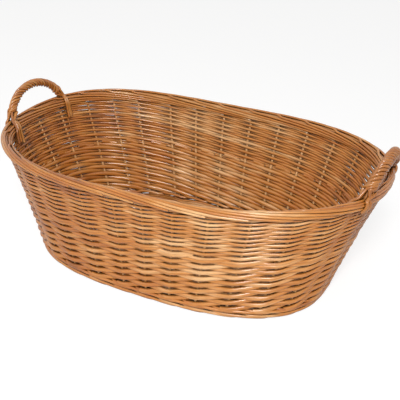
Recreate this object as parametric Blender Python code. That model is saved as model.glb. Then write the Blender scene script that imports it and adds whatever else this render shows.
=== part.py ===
"""Oval willow laundry basket with two roped end handles, modelled rod by rod.

The basket is built the way a basket maker builds it: pierced cross sticks and
long sticks make the base, stakes are pushed in at its edge and turned up, a
three-rod wale sets them, two blocks of slanting rods make the siding, and the
tops of the stakes are laid down into the border. X runs along the basket, Y
across it, and Z up from the floor. Lengths are in metres.
"""

import math

import bmesh
import bpy
from mathutils import Vector

# Outside of the whole basket
RIM_LENGTH = 0.660
RIM_WIDTH = 0.436
FOOT_LENGTH = 0.522
FOOT_WIDTH = 0.339
HEIGHT = 0.206
RIM_CURVE_SHARE = 0.83
FOOT_CURVE_SHARE = 0.74

# Room between rods that lie against each other
CLEARANCE = 0.0003

# Stakes: two beside each end of a cross stick, one beside each end of a long stick
CROSS_STICKS = 6
LONG_STICKS = 3
STAKE_COUNT = 4 * CROSS_STICKS + 2 * LONG_STICKS
WALE_RODS = 3
STAKE_THICKNESS = 0.0050
STAKE_TIP_THICKNESS = 0.0038
STAKE_FOOT_REACH = 0.024
STAKE_FUSE = 0.0004
STAKES_PER_ROW = 3
STAKE_LEAN_SHARE = 0.25
WALE_THICKNESS = 0.0050
WALE_SLACK = 0.0006
FLAT_DEPTH = 0.0005

# Siding rods, butt and tip of each block
LOWER_BUTT = 0.0068
LOWER_TIP = 0.0054
UPPER_BUTT = 0.0054
UPPER_TIP = 0.0044
LOWER_BLOCK_SHARE = 0.54
WEAVE_SLACK_SHARE = 1.04

# Border, laid down from the stakes
BORDER_WIDTH = 0.024
BORDER_HEIGHT = 0.020

# Base sticks and the bands woven over them
CROSS_STICK_THICKNESS = 0.0070
LONG_STICK_THICKNESS = 0.0044
CROSS_STICK_SPACING = 0.050
LONG_STICK_SPACING = 0.0056
BASE_BANDS = 4
BASE_BAND_THICKNESS = 0.0024
BASE_BAND_GAP = 0.0010
LONG_BAND_START_SHARE = 0.15
CROSS_BAND_START_SHARE = 0.04

# Handles at the two ends
HANDLE_SPREAD_SHARE = 1.22
HANDLE_RISE = 0.046
HANDLE_LEAN = 0.008
HANDLE_LEG_DEPTH = 0.060
BOW_THICKNESS = 0.0064
STRAND_THICKNESS = 0.0033
STRAND_COUNT = 3
STRAND_LEAD = 0.046
BOW_TIP_SHARE = 0.6
WRAP_SLACK = 0.0013
WRAP_SPREAD_SHARE = 0.17

# Counts of points, and the overrun of cutters
OVAL_POINTS = 720
BOW_STEPS = 14
POINTS_PER_TURN = 6
STRAND_START_DEGREES = 7
OVERRUN = 0.010

UP = Vector((0, 0, 1))

# Turn that lays a four-sided rod on one of its flats
FLAT_TURN = math.pi / 4

# Bevel resolutions that give a curve four or six sides
FOUR_SIDES = 0
SIX_SIDES = 1

# Colours of the buff willow, and its sheen
PALE = (0.64, 0.36, 0.16)
TAN = (0.58, 0.30, 0.11)
ORANGE = (0.55, 0.25, 0.08)
BROWN = (0.42, 0.19, 0.07)
ROUGHNESS = 0.45

# Wale: (place, side, step up) of the bends at three stakes in turn
WALE_PATH_SHARES = (((0, -1, 0.9),), ((0, 1, 1),), ((-0.15, 1, 0), (0.15, 1, 0)))

# Border lap: stakes passed, and degrees round the border's section
BORDER_LAP = ((0, -90), (0.5, -150), (1, -190), (1.5, -240), (2.5, -280),
              (3.5, -316), (4.5, -354), (5.6, -398))

# Handle wrap: degrees round the border's section, from inside over the top
WRAP_DEGREES = (196, 152, 108, 64, 20, -24)


class Oval:
    """A level superellipse, walked by the share of its own length.

    A curve share of 1 gives an ellipse, and a lower one a squarer oval.
    """

    def __init__(self, half_length, half_width, curve_share):
        self.points = []
        for step in range(OVAL_POINTS):
            angle = 2 * math.pi * step / OVAL_POINTS
            x = abs(math.cos(angle)) ** curve_share * half_length
            y = abs(math.sin(angle)) ** curve_share * half_width
            self.points.append(Vector((math.copysign(x, math.cos(angle)),
                                       math.copysign(y, math.sin(angle)), 0)))
        self.points.append(self.points[0].copy())
        self.run = [0.0]
        for start, end in zip(self.points, self.points[1:]):
            self.run.append(self.run[-1] + (end - start).length)

    def at(self, share):
        """Return the point at a share of the way round, from +X through +Y."""
        target = (share % 1.0) * self.run[-1]
        low, high = 0, OVAL_POINTS
        while high - low > 1:
            middle = (low + high) // 2
            if self.run[middle] <= target:
                low = middle
            else:
                high = middle
        span = self.run[high] - self.run[low]
        return self.points[low].lerp(self.points[high], (target - self.run[low]) / span)

    def outward(self, share):
        """Return the level direction out of the oval at a share of the way round."""
        step = 1 / OVAL_POINTS
        along = self.at(share + step) - self.at(share - step)
        return along.cross(UP).normalized()


# Sizes that follow from the driving ones
STAKE_RADIUS = STAKE_THICKNESS / 2
STAKE_TIP_RADIUS = STAKE_TIP_THICKNESS / 2
WALE_RADIUS = WALE_THICKNESS / 2
WALE_OFFSET = STAKE_RADIUS + CLEARANCE + WALE_SLACK + WALE_RADIUS
WALE_STEP = 2 * (WALE_THICKNESS + CLEARANCE)
WALE_TOP = WALE_THICKNESS - FLAT_DEPTH + WALE_STEP
WALE_REACH = WALE_OFFSET + WALE_RADIUS
BORDER_LEVEL = HEIGHT - BORDER_HEIGHT / 2
SIDING_BOTTOM = WALE_TOP + CLEARANCE
SIDING_TOP = HEIGHT - BORDER_HEIGHT - CLEARANCE
CROSS_STICK_RADIUS = CROSS_STICK_THICKNESS / 2
LONG_STICK_RADIUS = LONG_STICK_THICKNESS / 2
STICK_LEVEL = CLEARANCE + BASE_BAND_THICKNESS + CLEARANCE + CROSS_STICK_RADIUS
SLOT_WIDTH = (LONG_STICKS - 1) * LONG_STICK_SPACING + LONG_STICK_THICKNESS + 2 * CLEARANCE
SLOT_HEIGHT = LONG_STICK_THICKNESS + 2 * CLEARANCE
CORE_WIDTH = SLOT_WIDTH + 2 * BASE_BAND_GAP
CORE_LENGTH = ((CROSS_STICKS - 1) * CROSS_STICK_SPACING + CROSS_STICK_THICKNESS
               + 2 * BASE_BAND_GAP)
BOW_RADIUS = BOW_THICKNESS / 2
STRAND_RADIUS = STRAND_THICKNESS / 2
STRAND_OFFSET = ((BOW_RADIUS + 2 * CLEARANCE + STRAND_RADIUS)
                 / math.cos(math.pi / POINTS_PER_TURN))
LEG_OFFSET = BORDER_WIDTH / 2 + 2 * CLEARANCE + BOW_RADIUS
SIDE_STAKE = STAKE_COUNT / 4
FAR_STAKE = STAKE_COUNT / 2
FOOT_OVAL = Oval(FOOT_LENGTH / 2 - WALE_REACH, FOOT_WIDTH / 2 - WALE_REACH,
                 FOOT_CURVE_SHARE)
RIM_OVAL = Oval((RIM_LENGTH - BORDER_WIDTH) / 2, (RIM_WIDTH - BORDER_WIDTH) / 2,
                RIM_CURVE_SHARE)


def wall_share(stake):
    """Return how far round the wall a stake stands; stake 0 is at the +X end."""
    return stake / STAKE_COUNT


def wall_point(stake, level, offset):
    """Return a point beside the wall's middle surface, offset outwards.

    The stakes lean along the wall as they rise, and what passes them goes with them.
    """
    lean = level / BORDER_LEVEL
    share = wall_share(stake + STAKE_LEAN_SHARE * lean)
    middle = FOOT_OVAL.at(share).lerp(RIM_OVAL.at(share), lean)
    outward = FOOT_OVAL.outward(share).lerp(RIM_OVAL.outward(share), lean).normalized()
    return middle + outward * offset + UP * level


def make_material(name, color, roughness):
    """Return a plain material of one willow colour."""
    material = bpy.data.materials.new(name)
    material.use_nodes = True
    shader = material.node_tree.nodes["Principled BSDF"]
    shader.inputs["Base Color"].default_value = (*color, 1)
    shader.inputs["Roughness"].default_value = roughness
    shader.inputs["Metallic"].default_value = 0
    return material


def add_part(name, data, color):
    """Put one named part in the scene, in its own material."""
    data.materials.append(make_material(f"{name}_willow", color, ROUGHNESS))
    part = bpy.data.objects.new(name, data)
    bpy.context.scene.collection.objects.link(part)
    return part


def add_rods(name, rods, thickness, color, sides=FOUR_SIDES, closed=False,
             twist="Z_UP", turn=0.0):
    """Model round rods as curves with filled ends; each rod is (points, radii)."""
    curve = bpy.data.curves.new(name, "CURVE")
    curve.dimensions = "3D"
    curve.twist_mode = twist
    curve.bevel_depth = thickness / 2
    curve.bevel_resolution = sides
    curve.resolution_u = 1
    curve.render_resolution_u = 0
    curve.use_fill_caps = not closed
    for points, radii in rods:
        spline = curve.splines.new("POLY")
        spline.points.add(len(points) - 1)
        spline.use_cyclic_u = closed
        for knot, point, radius in zip(spline.points, points, radii):
            knot.co = (*point, 1)
            knot.radius = radius / curve.bevel_depth
            knot.tilt = turn
    return add_part(name, curve, color)


def stick_end(core, stake, hands, radius):
    """Return (core point, edge point, stake place, hands, radius) of a stick's end.

    Hands lists the stakes pushed in beside the end: (side of the stick, stake place
    from the stick's own).
    """
    edge = wall_point(stake, 0, -(WALE_REACH + CLEARANCE))
    return core + UP * STICK_LEVEL, edge + UP * STICK_LEVEL, stake, hands, radius


def long_stick_end(place, sign):
    """Return one end of a long stick; place 0 lies on the middle line."""
    core = Vector((sign * CORE_LENGTH / 2, place * LONG_STICK_SPACING, 0))
    middle = 0 if sign > 0 else FAR_STAKE
    return stick_end(core, middle + sign * place, ((1, 0),), LONG_STICK_RADIUS)


def cross_stick_end(place, sign):
    """Return one end of a cross stick; places run from -X to +X about the middle."""
    core = Vector((place * CROSS_STICK_SPACING, sign * CORE_WIDTH / 2, 0))
    stake = SIDE_STAKE - 2 * place
    return stick_end(core, sign * stake, ((-1, -0.5), (1, 0.5)), CROSS_STICK_RADIUS)


def places(count):
    """Return the places of a row of sticks, evenly spaced about zero."""
    return [place - (count - 1) / 2 for place in range(count)]


def stake_foot(end, side, step):
    """Return the place of a stake and its foot, which lies in the base beside a stick.

    Side is -1 on one side of the stick and 1 on the other. The foot runs along the
    stick, then turns aside and ducks under the wale.
    """
    core, edge, place, hands, radius = end
    inward = (core - edge).normalized()
    beside = UP.cross(-inward) * side * (radius + STAKE_RADIUS - STAKE_FUSE)
    stake = place + step
    tip = edge + inward * STAKE_FOOT_REACH + beside
    spread = edge + inward * STAKE_THICKNESS + beside
    heel = wall_point(stake, WALE_RADIUS + CLEARANCE, -STAKE_RADIUS)
    shin = wall_point(stake, STICK_LEVEL, 0)
    return stake, [tip, spread, heel, shin]


def stake_rod(end, side, step):
    """Return one stake: foot in the base, wall, then its lap in the border.

    In the border it drops behind the next stake, comes over the top, runs
    down the outside past three more, and its tip is tucked under.
    """
    stake, points = stake_foot(end, side, step)
    radii = [STAKE_RADIUS] * len(points)
    lap_width = BORDER_WIDTH / 2 - STAKE_RADIUS
    lap_height = BORDER_HEIGHT / 2 - STAKE_RADIUS
    last = BORDER_LAP[-1][0]
    for spaces, degrees in BORDER_LAP:
        angle = math.radians(degrees)
        level = BORDER_LEVEL + lap_height * math.sin(angle)
        points.append(wall_point(stake + spaces, level, lap_width * math.cos(angle)))
        radii.append(STAKE_RADIUS + (STAKE_TIP_RADIUS - STAKE_RADIUS) * spaces / last)
    return points, radii


def make_wale():
    """Make the wale: each rod passes before two stakes and behind the third.

    The basket stands on the wale, so its rods are cut flat at the floor.
    """
    cutter = make_cutter("floor_cutter", (FOOT_LENGTH, FOOT_WIDTH, OVERRUN), -OVERRUN / 2)
    for rod in range(WALE_RODS):
        points = []
        for stake in range(STAKE_COUNT):
            for place, offset, step in WALE_PATH_SHARES[(stake + rod) % WALE_RODS]:
                level = WALE_RADIUS - FLAT_DEPTH + step * WALE_STEP
                points.append(wall_point(stake + place, level, offset * WALE_OFFSET))
        rods = [(points, [WALE_RADIUS] * len(points))]
        name = f"foot_wale_rod_{rod + 1}"
        part = add_part(name, solid_mesh(name, rods, WALE_THICKNESS, FOUR_SIDES, True), TAN)
        foot = part.modifiers.new("flat_foot", "BOOLEAN")
        foot.operation = "DIFFERENCE"
        foot.object = cutter


def siding_height(rows, butt, tip, all_rows):
    """Return (height, radius) of a rod's middle after climbing some rows.

    The rod thins evenly, and each row clears the one below it.
    """
    slimming = (tip - butt) / 2 / all_rows
    radius = butt / 2 + slimming * rows
    return butt / 2 + (butt + CLEARANCE) * rows + slimming * rows * rows, radius


def siding_crossings(height, butt, tip):
    """Return how many stakes each rod of a block passes to fill its height."""
    rows = height / ((butt + tip) / 2 + CLEARANCE)
    return int((rows - 1) * STAKES_PER_ROW) + 1


def siding_rod(first, bottom, crossings, butt, tip):
    """Return one rod that climbs past the stakes, in front and behind by turns."""
    points = []
    radii = []
    all_rows = (crossings - 1) / STAKES_PER_ROW
    for step in range(crossings):
        height, radius = siding_height(step / STAKES_PER_ROW, butt, tip, all_rows)
        offset = (STAKE_RADIUS + CLEARANCE + radius) * WEAVE_SLACK_SHARE
        side = 1 if step % 2 == 0 else -1
        points.append(wall_point(first + step, bottom + height, side * offset))
        radii.append(radius)
    return points, radii


def make_siding(name, first, bottom, height, butt, tip, color):
    """Make one block of slanting rods; return its top and where the next starts."""
    crossings = siding_crossings(height, butt, tip)
    for number in range(STAKE_COUNT // STAKES_PER_ROW):
        start = first + number * STAKES_PER_ROW
        rod = siding_rod(start, bottom, crossings, butt, tip)
        add_rods(f"{name}_rod_{number + 1:02d}", [rod], butt, color)
    rows = (crossings - 1) / STAKES_PER_ROW
    full_rows = crossings / STAKES_PER_ROW - 1
    level, radius = siding_height(full_rows, butt, tip, rows)
    return bottom + level + radius + CLEARANCE, first + crossings


def solid_mesh(name, rods, thickness, sides, closed=False):
    """Return a mesh of closed rods, made from bevelled curves."""
    part = add_rods(name, rods, thickness, BROWN, sides, closed,
                    "Z_UP" if closed else "MINIMUM")
    mesh = bpy.data.meshes.new_from_object(part)
    bpy.data.objects.remove(part)
    bm = bmesh.new()
    bm.from_mesh(mesh)
    bmesh.ops.remove_doubles(bm, verts=bm.verts, dist=CLEARANCE / 10)
    bmesh.ops.recalc_face_normals(bm, faces=bm.faces)
    bm.to_mesh(mesh)
    bm.free()
    return mesh


def add_helper(name, mesh):
    """Put a guide in the scene that only cuts or joins another part."""
    helper = bpy.data.objects.new(name, mesh)
    bpy.context.scene.collection.objects.link(helper)
    helper.hide_render = True
    helper.display_type = "WIRE"
    return helper


def make_cutter(name, size, level):
    """Make a box-shaped cutter on the middle of the basket."""
    mesh = bpy.data.meshes.new(name)
    bm = bmesh.new()
    bmesh.ops.create_cube(bm, size=1)
    bmesh.ops.scale(bm, vec=size, verts=bm.verts)
    bmesh.ops.translate(bm, vec=UP * level, verts=bm.verts)
    bm.to_mesh(mesh)
    bm.free()
    return add_helper(name, mesh)


def make_stick(name, start, end, thickness, sides, cutter=None):
    """Make a base stick with the stakes that are pushed in beside its ends."""
    points = [start[1], start[0], end[0], end[1]]
    stick = [(points, [thickness / 2] * len(points))]
    part = add_part(name, solid_mesh(name, stick, thickness, sides), ORANGE)
    stakes = [stake_rod(tip, *hand) for tip in (start, end) for hand in tip[3]]
    helper = add_helper(f"{name}_stakes", solid_mesh(name, stakes, STAKE_THICKNESS,
                                                     FOUR_SIDES))
    if cutter:
        slot = part.modifiers.new("slot", "BOOLEAN")
        slot.operation = "DIFFERENCE"
        slot.object = cutter
    join = part.modifiers.new("stakes", "BOOLEAN")
    join.operation = "UNION"
    join.object = helper


def make_sticks_and_stakes():
    """Make the long sticks and the slit cross sticks, each with its stakes."""
    for number, place in enumerate(places(LONG_STICKS), 1):
        make_stick(f"long_stick_{number}_with_stakes", long_stick_end(place, -1),
                   long_stick_end(place, 1), LONG_STICK_THICKNESS, FOUR_SIDES)
    size = (CORE_LENGTH + 2 * OVERRUN, SLOT_WIDTH, SLOT_HEIGHT)
    cutter = make_cutter("slot_cutter", size, STICK_LEVEL)
    for number, place in enumerate(places(CROSS_STICKS), 1):
        make_stick(f"cross_stick_{number}_with_stakes", cross_stick_end(place, -1),
                   cross_stick_end(place, 1), CROSS_STICK_THICKNESS, SIX_SIDES, cutter)


def base_stick_ends():
    """Return the ends of all base sticks in order round the base, from +X."""
    right = [long_stick_end(place, 1) for place in places(LONG_STICKS)]
    far = [cross_stick_end(-place, 1) for place in places(CROSS_STICKS)]
    left = [long_stick_end(-place, -1) for place in places(LONG_STICKS)]
    near = [cross_stick_end(place, -1) for place in places(CROSS_STICKS)]
    return right + far + left + near


def band_rails(end, band):
    """Return the places across one stick end where a band bends, inner and outer.

    Where the stakes' feet lie beside the stick, the band stays level over all three.
    """
    core, edge, place, hands, radius = end
    share = CROSS_BAND_START_SHARE if radius == CROSS_STICK_RADIUS else LONG_BAND_START_SHARE
    start = core.lerp(edge, share)
    ray = edge - start
    along = ray.normalized()
    ray -= along * STAKE_THICKNESS
    middle = start + ray * (band + 0.5) / BASE_BANDS
    half_band = along * (ray.length / BASE_BANDS - BASE_BAND_GAP) / 2
    half_level = radius + CLEARANCE
    if ray.length * (1 - (band + 1) / BASE_BANDS) < STAKE_FOOT_REACH - STAKE_THICKNESS:
        half_level += STAKE_THICKNESS
    sides = [-UP.cross(along) * half_level, UP.cross(along) * half_level]
    return [(middle - half_band + side, middle + half_band + side) for side in sides]


def make_base_band(band):
    """Make one band of base weaving, over and under the stick ends by turns."""
    bm = bmesh.new()
    rails = []
    for number, end in enumerate(base_stick_ends()):
        rise = max(end[4], STAKE_RADIUS) + CLEARANCE + BASE_BAND_THICKNESS / 2
        lift = UP * (rise if (number + band) % 2 == 0 else -rise)
        for inner, outer in band_rails(end, band):
            rails.append((bm.verts.new(inner + lift), bm.verts.new(outer + lift)))
    for (inner, outer), (next_inner, next_outer) in zip(rails, rails[1:] + rails[:1]):
        bm.faces.new((inner, outer, next_outer, next_inner))
    mesh = bpy.data.meshes.new(f"base_band_{band + 1}")
    bm.to_mesh(mesh)
    bm.free()
    ring = add_part(mesh.name, mesh, BROWN)
    wall = ring.modifiers.new("thickness", "SOLIDIFY")
    wall.thickness = BASE_BAND_THICKNESS
    wall.offset = 0


def leg_stakes(side):
    """Return the stake places of the two legs of the handle at one end of the basket."""
    middle = (0 if side > 0 else FAR_STAKE) - STAKE_LEAN_SHARE * HEIGHT / BORDER_LEVEL
    return [middle - HANDLE_SPREAD_SHARE, middle + HANDLE_SPREAD_SHARE]


def bow_arch(side):
    """Return the bow's feet, middle and reach to the apex, for one end of the basket."""
    middle_stake = 0 if side > 0 else FAR_STAKE
    stakes = leg_stakes(side)
    feet = [wall_point(stake, HEIGHT, -LEG_OFFSET) for stake in stakes]
    middle = (feet[0] + feet[1]) / 2
    end = RIM_OVAL.at(wall_share(middle_stake)).x + side * HANDLE_LEAN
    apex = Vector((end, 0, HEIGHT + HANDLE_RISE))
    return stakes, middle, (feet[1] - feet[0]) / 2, apex - middle


def arch_point(arch, angle):
    """Return the point and direction of the bow's arch at an angle from 0 to pi."""
    stakes, middle, half, rise = arch
    point = middle - half * math.cos(angle) + rise * math.sin(angle)
    along = half * math.sin(angle) + rise * math.cos(angle)
    return point, along.normalized()


def bow_leg(stake):
    """Return the leg of a bow, from its tip inside the siding up past the border."""
    rest = (STAKE_RADIUS + CLEARANCE + UPPER_BUTT / 2) * WEAVE_SLACK_SHARE + UPPER_BUTT / 2
    tip = wall_point(stake, BORDER_LEVEL - HANDLE_LEG_DEPTH, -(rest + CLEARANCE + BOW_RADIUS))
    knee = wall_point(stake, SIDING_TOP, -LEG_OFFSET)
    return [tip, knee]


def make_bow(name, side):
    """Make the bent rod in the middle of a handle."""
    arch = bow_arch(side)
    stakes = arch[0]
    points = bow_leg(stakes[0])
    for step in range(BOW_STEPS + 1):
        points.append(arch_point(arch, math.pi * step / BOW_STEPS)[0])
    points += reversed(bow_leg(stakes[1]))
    radii = [BOW_RADIUS] * len(points)
    radii[0] = radii[-1] = BOW_RADIUS * BOW_TIP_SHARE
    add_rods(f"{name}_handle_bow", [(points, radii)], BOW_THICKNESS, TAN,
             sides=SIX_SIDES, twist="MINIMUM")


def strand_path(arch, number):
    """Return the points of one roping strand, wound round the bow from foot to foot."""
    stakes, middle, half, rise = arch
    flat = half.cross(rise).normalized()
    points = []
    turned = 0.0
    last = arch_point(arch, 0)[0]
    angle = math.radians(STRAND_START_DEGREES)
    stop = math.pi - angle
    while angle <= stop:
        point, along = arch_point(arch, angle)
        turned += (point - last).length
        last = point
        spin = 2 * math.pi * (turned / STRAND_LEAD + number / STRAND_COUNT)
        side = along.cross(flat)
        points.append(point + (flat * math.cos(spin) + side * math.sin(spin)) * STRAND_OFFSET)
        speed = (half * math.sin(angle) + rise * math.cos(angle)).length
        angle += STRAND_LEAD / POINTS_PER_TURN / speed
    return points


def make_wraps(name, side):
    """Make the wraps that hold each leg, one on either side of it, over the border."""
    across = BORDER_WIDTH / 2 + WRAP_SLACK + STRAND_RADIUS
    rise = BORDER_HEIGHT / 2 + WRAP_SLACK + STRAND_RADIUS
    places = [leg + spread * WRAP_SPREAD_SHARE for leg in leg_stakes(side)
              for spread in (-1, 1)]
    for number, place in enumerate(places, 1):
        points = []
        for degrees in WRAP_DEGREES:
            angle = math.radians(degrees)
            level = BORDER_LEVEL + rise * math.sin(angle)
            points.append(wall_point(place, level, across * math.cos(angle)))
        radii = [STRAND_RADIUS] * len(points)
        add_rods(f"{name}_handle_wrap_{number}", [(points, radii)], STRAND_THICKNESS, PALE,
                 twist="MINIMUM")


def make_strands(name, side):
    """Make the roping strands that wind round a bow."""
    arch = bow_arch(side)
    for number in range(STRAND_COUNT):
        points = strand_path(arch, number)
        radii = [STRAND_RADIUS] * len(points)
        add_rods(f"{name}_handle_strand_{number + 1}", [(points, radii)],
                 STRAND_THICKNESS, PALE)


def main():
    """Clear the scene and build every part of the basket."""
    for old in list(bpy.data.objects):
        bpy.data.objects.remove(old)
    make_sticks_and_stakes()
    for band in range(BASE_BANDS):
        make_base_band(band)
    make_wale()
    height = SIDING_TOP - SIDING_BOTTOM
    top, start = make_siding("lower_siding", 0, SIDING_BOTTOM, height * LOWER_BLOCK_SHARE,
                             LOWER_BUTT, LOWER_TIP, PALE)
    make_siding("upper_siding", start, top, SIDING_TOP - top, UPPER_BUTT, UPPER_TIP, TAN)
    for name, side in (("left", -1), ("right", 1)):
        make_bow(name, side)
        make_strands(name, side)
        make_wraps(name, side)


main()
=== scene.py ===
"""Looks of the oval willow laundry basket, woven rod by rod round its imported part."""

import math

import bmesh
import bpy
import numpy as np
from mathutils import Matrix, Vector


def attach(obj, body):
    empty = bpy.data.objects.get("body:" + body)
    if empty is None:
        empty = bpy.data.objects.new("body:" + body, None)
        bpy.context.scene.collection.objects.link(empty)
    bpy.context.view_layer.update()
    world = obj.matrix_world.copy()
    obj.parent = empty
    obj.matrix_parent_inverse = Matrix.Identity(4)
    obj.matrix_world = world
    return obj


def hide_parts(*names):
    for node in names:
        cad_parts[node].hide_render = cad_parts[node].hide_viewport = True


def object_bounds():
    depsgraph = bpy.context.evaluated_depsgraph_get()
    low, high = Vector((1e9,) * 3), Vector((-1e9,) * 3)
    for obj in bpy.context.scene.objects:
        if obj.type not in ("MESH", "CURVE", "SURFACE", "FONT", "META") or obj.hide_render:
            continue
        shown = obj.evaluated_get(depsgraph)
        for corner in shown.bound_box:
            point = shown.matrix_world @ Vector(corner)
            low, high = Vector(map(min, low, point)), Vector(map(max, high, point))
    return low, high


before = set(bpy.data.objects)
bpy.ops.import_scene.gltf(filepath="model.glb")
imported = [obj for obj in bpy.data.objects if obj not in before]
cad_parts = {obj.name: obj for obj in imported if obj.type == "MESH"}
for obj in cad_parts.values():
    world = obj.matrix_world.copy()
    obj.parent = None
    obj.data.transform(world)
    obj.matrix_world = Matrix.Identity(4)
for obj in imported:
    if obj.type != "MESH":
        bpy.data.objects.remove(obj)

bl_info = {
    "name": "Willow Laundry Basket",
    "version": (1, 0, 0),
    "blender": (4, 5, 0),
    "location": "3D View > Sidebar > Basket",
    "description": "Weaves an oval laundry basket in buff willow, rod by rod",
    "category": "Mesh",
}

CAD_LOW, CAD_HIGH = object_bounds()
STICK_NODES = sorted(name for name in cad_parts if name.endswith("_with_stakes"))

# Stakes set by hand stand a little off their even places, in stake spacings
STAKE_SHIFTS = (-0.20, -0.20, -0.20, -0.20, -0.22, -0.22, -0.19, -0.17, -0.20, -0.19,
                -0.25, -0.11, -0.28, -0.39, -0.35, -0.35, -0.35, -0.35, -0.35, -0.33,
                -0.26, -0.15, -0.11, -0.26, -0.39, -0.45, -0.40, -0.32, -0.34, -0.22)
STAKES = len(STAKE_SHIFTS)

# Foot of a stake: levels, and distances outwards from the wall, up to its bend
STAKE_FOOT = ((0.0070, -0.028), (0.0062, -0.010), (0.0080, -0.001))

# Knots of a stake in the wall: the lowest one's level, the highest one's depth under the
# border, and their number
STAND_LEVEL, STAND_DEPTH, STAND_KNOTS = 0.018, 0.004, 9

# Border lap of one stake: spacings passed, and degrees round the border's section
BORDER_LAP = ((0.35, -118), (1.20, -148), (2.20, -178), (3.20, -206), (3.86, -225),
              (4.00, -236), (4.10, -254), (4.26, -268), (5.00, -290), (6.00, -320),
              (7.00, -350), (7.90, -376))

# Spacings that a lap strays along the border, and in which a stake takes the border's tint
LAP_STRAY, LAP_CHANGE = 0.10, 0.4

# How the rolled border strays outwards and upwards at even places round it, in millimetres
RIM_PUSH = (3.1, 3.6, 1.1, -0.9, 0.6, 2.9, 1.5, 1.6, 2.3, -0.9, -1.5, -2.5)
RIM_LIFT = (1.0, 0.9, 0.4, -1.2, 2.2, 6.5, 2.4, -0.6, -1.6, 1.5, 1.9, 5.3)
RIM_STEPS = 360

# Rods inside the border: their number, the spacings and the radians from one to the next,
# and the radians that they twist per spacing
CORE_RODS, CORE_STEP, CORE_TURN, CORE_TWIST = 5, 5.7, 1.257, 0.09

# Points of a smooth curve between two of its knots, in the weave and in sticks and ropes
CURVE_STEPS, SHORT_STEPS = 6, 3

# Tints: mean and spread of woven rods, a stake's in the wall and laid down, and a bow's
ROD_TINT, ROD_TINT_SPREAD = 0.40, 0.10
STAKE_TINT, LAID_TINT = -0.05, 0.50
BOW_TINT = 0.3

# How far a cut end stands out at its middle
END_BULGE = 0.00005

# Rates of a hand-made waver along a rod, and its size in the weave
WAVER_RATES = np.array((0.7, 1.7, 3.1))
WAVER = 0.00030

# Shape of a siding rod's swing from side to side: near 1 a zigzag, near 0 an even wave
SWING = 0.96

# Spacings that a siding rod reaches before its first row's stake and past its last one's
LOWER_ENDS = (0.22, 0.75)
UPPER_ENDS = (0.80, 0.70)

# How far the siding's lower block reaches into the wale, its upper one into the lower one
# and its top row into the border
WALE_LAP, BLOCK_LAP, BORDER_REACH = 0.004, 0.0015, 0.0085

# Smallest and largest size of a siding rod, of a roping strand and of a short strand
SIDING_SIZES = (0.96, 1.06)
STRAND_SIZES = (0.92, 1.06)
FILLER_SIZES = (0.80, 0.95)

# Foot wale: share of a beat of three stakes in which a rod sinks, how sharply it changes
# sides, how much longer it stays outside, the first round's level in rounds and the height
# a rod climbs in rod thicknesses
WALE_SINK, WALE_SHARP, WALE_OUT, WALE_START, WALE_CLIMB = 0.82, 2.6, 1.1, 0.28, 0.95

# Room left between the lowest rods and the floor
FLOOR_ROOM = 0.0001

# Sticks of the base, numbered from the middle
LONG_STICKS = (-1, 0, 1)
CROSS_STICKS = (-2.5, -1.5, -0.5, 0.5, 1.5, 2.5)

# How far the weave starts off the cross sticks' sides and into the long sticks' sides, and
# how far its edge keeps off the stakes, in wale rod thicknesses
CORE_ROOM, SLOT_BITE, EDGE_ROOM = 0.001, 0.0008, 0.25

# Shares of each stretch of a stick that get a knot
STICK_KNOTS = (0.0, 0.06, 0.5, 0.94)

# Weave of the base: thickness over its rows' width, shares of a stick's radius and of a
# rod's own between their middles, and points of one rod
BASE_FULLNESS, STICK_SHARE, ROD_SHARE, BASE_POINTS = 1.28, 0.7, 0.8, 180

# Points of a bow's arch and of a leg, the depth of a leg's top point, and its taper
ARCH_POINTS, LEG_POINTS, LEG_TOP = 61, 5, 0.012
LEG_TAPER = (0.5, 0.8)

# Points of a whole strand and of a short one round the bow, how deep strands press into the
# bow, and the strand thicknesses from which and to which a short one climbs
STRAND_POINTS, FILLER_POINTS, ROPE_BITE = 44, 12, 0.0001
FILLER_CLIMB = (-0.9, 0.60)

# Degrees round the border's section of a strand's tail that goes inside or outside
INNER_TAIL = (-240, -216, -192, -170)
OUTER_TAIL = (-306, -330, -354, -378, -398)

# Hanging end of an inner tail: its least and greatest depth, shares of that depth, widening
# of its drift, and distances outwards
TAIL_DEPTH = (0.020, 0.030)
TAIL_SHARES = (0.4, 0.7, 1.0)
TAIL_WIDENING = (1.05, 1.1, 1.15)
TAIL_OFFSETS = (-0.0092, -0.0080, -0.0072)

# Fan of the tails in spacings: reach of the inner ones at the near and at the far side,
# start and reach of the outer ones, and stray of each
NEAR_FAN, FAR_FAN, OUTER_START, OUTER_FAN, FAN_STRAY = 0.42, 0.14, 0.20, 0.34, 0.02

# How deep a tail presses into the border
TAIL_BITE = 0.0006

# Slot, sides of a rod, and tint added, shade and gloss of each piece's willow
PIECES = {
    "base_sticks": ("stakes_willow", 8, 0.15, 0.95, 0.0),
    "base_weave": ("base_weave_willow", 6, 0.10, 0.95, 0.0),
    "stakes_and_border": ("stakes_willow", 10, -0.05, 1.0, 0.05),
    "border_core": ("stakes_willow", 8, 0.10, 0.80, 0.0),
    "foot_wale": ("wale_willow", 10, 0.05, 1.0, 0.0),
    "lower_siding": ("lower_siding_willow", 10, 0.0, 1.0, 0.0),
    "upper_siding": ("upper_siding_willow", 8, 0.0, 1.0, 0.0),
    "left_bow": ("bow_willow", 12, 0.0, 0.92, 0.0),
    "left_roping": ("strand_willow", 10, 0.0, 0.92, 0.0),
    "right_bow": ("bow_willow", 12, 0.12, 0.82, 0.0),
    "right_roping": ("strand_willow", 10, 0.12, 0.82, 0.0),
}

# Name, place, size and watts of each lamp, and the point that they face
LAMPS = (("key_lamp", (0.70, -1.68, 1.60), 0.45, 40),
         ("fill_lamp", (-1.6, -1.6, 1.6), 1.6, 7))
LAMP_TARGET = (0, 0, 0.1)

random = np.random.default_rng(11)


# Settings

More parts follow.
